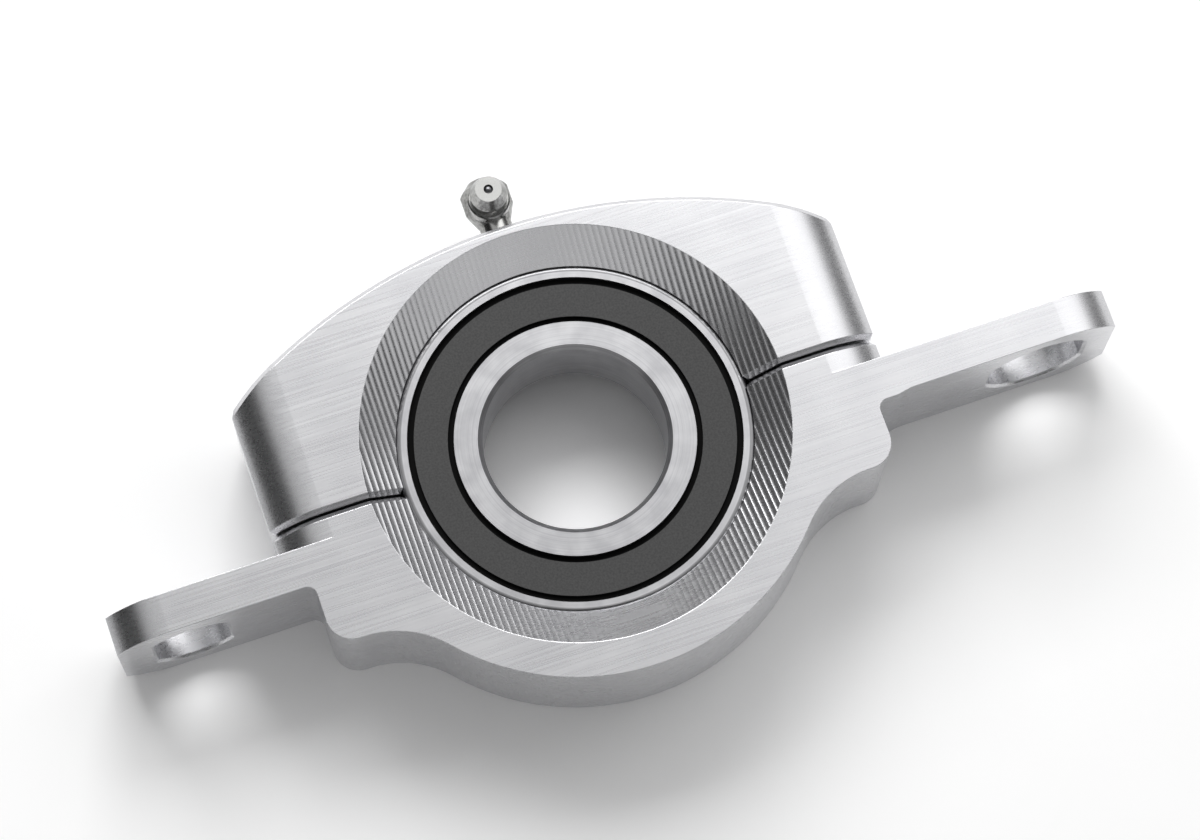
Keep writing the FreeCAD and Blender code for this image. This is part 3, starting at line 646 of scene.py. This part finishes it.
@dataclass(frozen=True)
class Room:
    """The studio round the object, as the bare metal mirrors it.

    A direction is told by its parts along X, Y and Z. Each side wall is a row of heights with their
    brightness. The left wall is dark up to a pale ceiling, and the right wall is pale above a dim foot. The
    room gets dim towards the viewer, where one pale screen stands.
    """

    left_wall: tuple[tuple[float, float], ...] = ((0.10, 0.22), (0.16, 0.035), (0.70, 0.035), (0.84, 0.52))
    right_wall: tuple[tuple[float, float], ...] = ((0.34, 0.20), (0.46, 0.70), (0.80, 0.70), (0.92, 0.58))
    left_x: float = -0.25
    right_x: float = 0.35
    front_y: float = -0.22
    back_y: float = 0.06
    front_dimming: float = 0.12
    screen_level: float = 0.76
    screen_from_y: float = -0.02
    screen_foot: tuple[float, float] = (0.26, 0.40)
    screen_top: tuple[float, float] = (0.74, 0.62)

    def build(self) -> None:
        """Paints the walls and the ceiling on the world."""
        world = bpy.data.worlds.new("studio_room")
        bpy.context.scene.world = world
        world.use_nodes = True
        tree = world.node_tree
        heading = add_node(tree, "ShaderNodeTexCoord").outputs["Generated"]
        parts = add_node(tree, "ShaderNodeSeparateXYZ", links={"Vector": heading}).outputs
        across = add_node(tree, "ShaderNodeMapRange", {"From Min": self.left_x, "From Max": self.right_x},
                          {"Value": parts["X"]}).outputs["Result"]
        left, right = (add_node(tree, "ShaderNodeValToRGB", links={"Fac": parts["Z"]},
                                stops=[(height, grey(level)) for height, level in wall]).outputs["Color"]
                       for wall in (self.left_wall, self.right_wall))
        sides = add_node(tree, "ShaderNodeMix", links={"Factor": across, MIX_A: left, MIX_B: right},
                         data_type="RGBA").outputs[MIX_RESULT]
        depth = add_node(tree, "ShaderNodeMapRange",
                         {"From Min": self.front_y, "From Max": self.back_y, "To Min": self.front_dimming},
                         {"Value": parts["Y"]}).outputs["Result"]
        dimmed = add_node(tree, "ShaderNodeVectorMath", links={0: sides, "Scale": depth},
                          operation="SCALE").outputs["Vector"]
        screen = self.pale_screen(tree, parts)
        room = add_node(tree, "ShaderNodeMix", {"Factor": 1.0}, {MIX_A: dimmed, MIX_B: screen},
                        data_type="RGBA", blend_type="LIGHTEN").outputs[MIX_RESULT]
        tree.links.new(room, tree.nodes["Background"].inputs["Color"])

    def pale_screen(self, tree: Tree, parts: bpy.types.NodeOutputs) -> Socket:
        """Stands a pale screen in front, which the top of the funnel mirrors.

        Args:
            tree: the world's tree.
            parts: the three parts of the direction.

        Returns:
            The screen's brightness.
        """
        near = add_node(tree, "ShaderNodeMapRange",
                        {"From Min": self.screen_from_y, "From Max": self.front_y},
                        {"Value": parts["Y"]}).outputs["Result"]
        top_ends, top_starts = self.screen_top
        low = add_node(tree, "ShaderNodeMapRange",
                       {"From Min": top_ends, "From Max": top_starts, "To Max": self.screen_level},
                       {"Value": parts["Z"]}).outputs["Result"]
        foot_starts, foot_ends = self.screen_foot
        raised = add_node(tree, "ShaderNodeMapRange", {"From Min": foot_starts, "From Max": foot_ends},
                          {"Value": parts["Z"]}).outputs["Result"]
        wall = add_node(tree, "ShaderNodeMath", links={0: near, 1: low}, operation="MULTIPLY").outputs[0]
        return add_node(tree, "ShaderNodeMath", links={0: wall, 1: raised}, operation="MULTIPLY").outputs[0]


@dataclass(frozen=True)
class PhotoCamera:
    """The camera solved from the photograph, with no shift and no depth of field."""

    focal_px: float = 3957.86
    place_mm: Place = (-64.25, -166.77, 659.23)
    right: Place = (0.94519, -0.32613, 0.01615)
    up: Place = (0.31007, 0.91194, 0.26874)
    nearest_m: float = 0.01
    farthest_m: float = 100.0

    def build(self) -> None:
        """Places the camera and makes it the scene's own."""
        data = bpy.data.cameras.new("camera")
        data.sensor_width = SENSOR_MM
        data.lens = self.focal_px * SENSOR_MM / PHOTO_WIDTH_PX
        data.clip_start = self.nearest_m
        data.clip_end = self.farthest_m
        camera = bpy.data.objects.new("camera", data)
        bpy.context.scene.collection.objects.link(camera)
        right, up = Vector(self.right).normalized(), Vector(self.up).normalized()
        back = right.cross(up).normalized()
        turn = Matrix((right, back.cross(right), back)).transposed().to_4x4()
        camera.matrix_world = Matrix.Translation(Vector(self.place_mm) * MM) @ turn
        bpy.context.scene.camera = camera


@dataclass
class Studio:
    """The floor, the soft light and the camera at the photograph's angle."""

    floor: Floor = Floor()
    # High above the right ear: it lights the floor and fills the shadow from the right.
    overhead: Softbox = Softbox("overhead", (0.95, 0.60, 1.5), (0.1, 0.0, 0.0), (1.4, 1.4), 5.0)
    # Behind the cap: it throws the soft shadow towards the viewer, out of sight of the flat faces.
    behind: Softbox = Softbox("behind", (0.10, 1.20, 1.1), (0.0, 0.0, 0.0), (1.2, 0.9), 20.0)
    room: Room = Room()
    camera: PhotoCamera = PhotoCamera()

    def build(self) -> None:
        """Builds the floor, both lamps, the room and the camera."""
        for part in (self.floor, self.overhead, self.behind, self.room, self.camera):
            part.build()
        log.info("studio: floor, lights, world and camera")


def main() -> None:
    """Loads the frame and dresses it."""
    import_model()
    Studio().build()
    Carrier().build()
    Bearing().build()
    GreaseFitting().build()
    bpy.context.scene.view_settings.view_transform = "Standard"


if __name__ == "__main__":
    main()
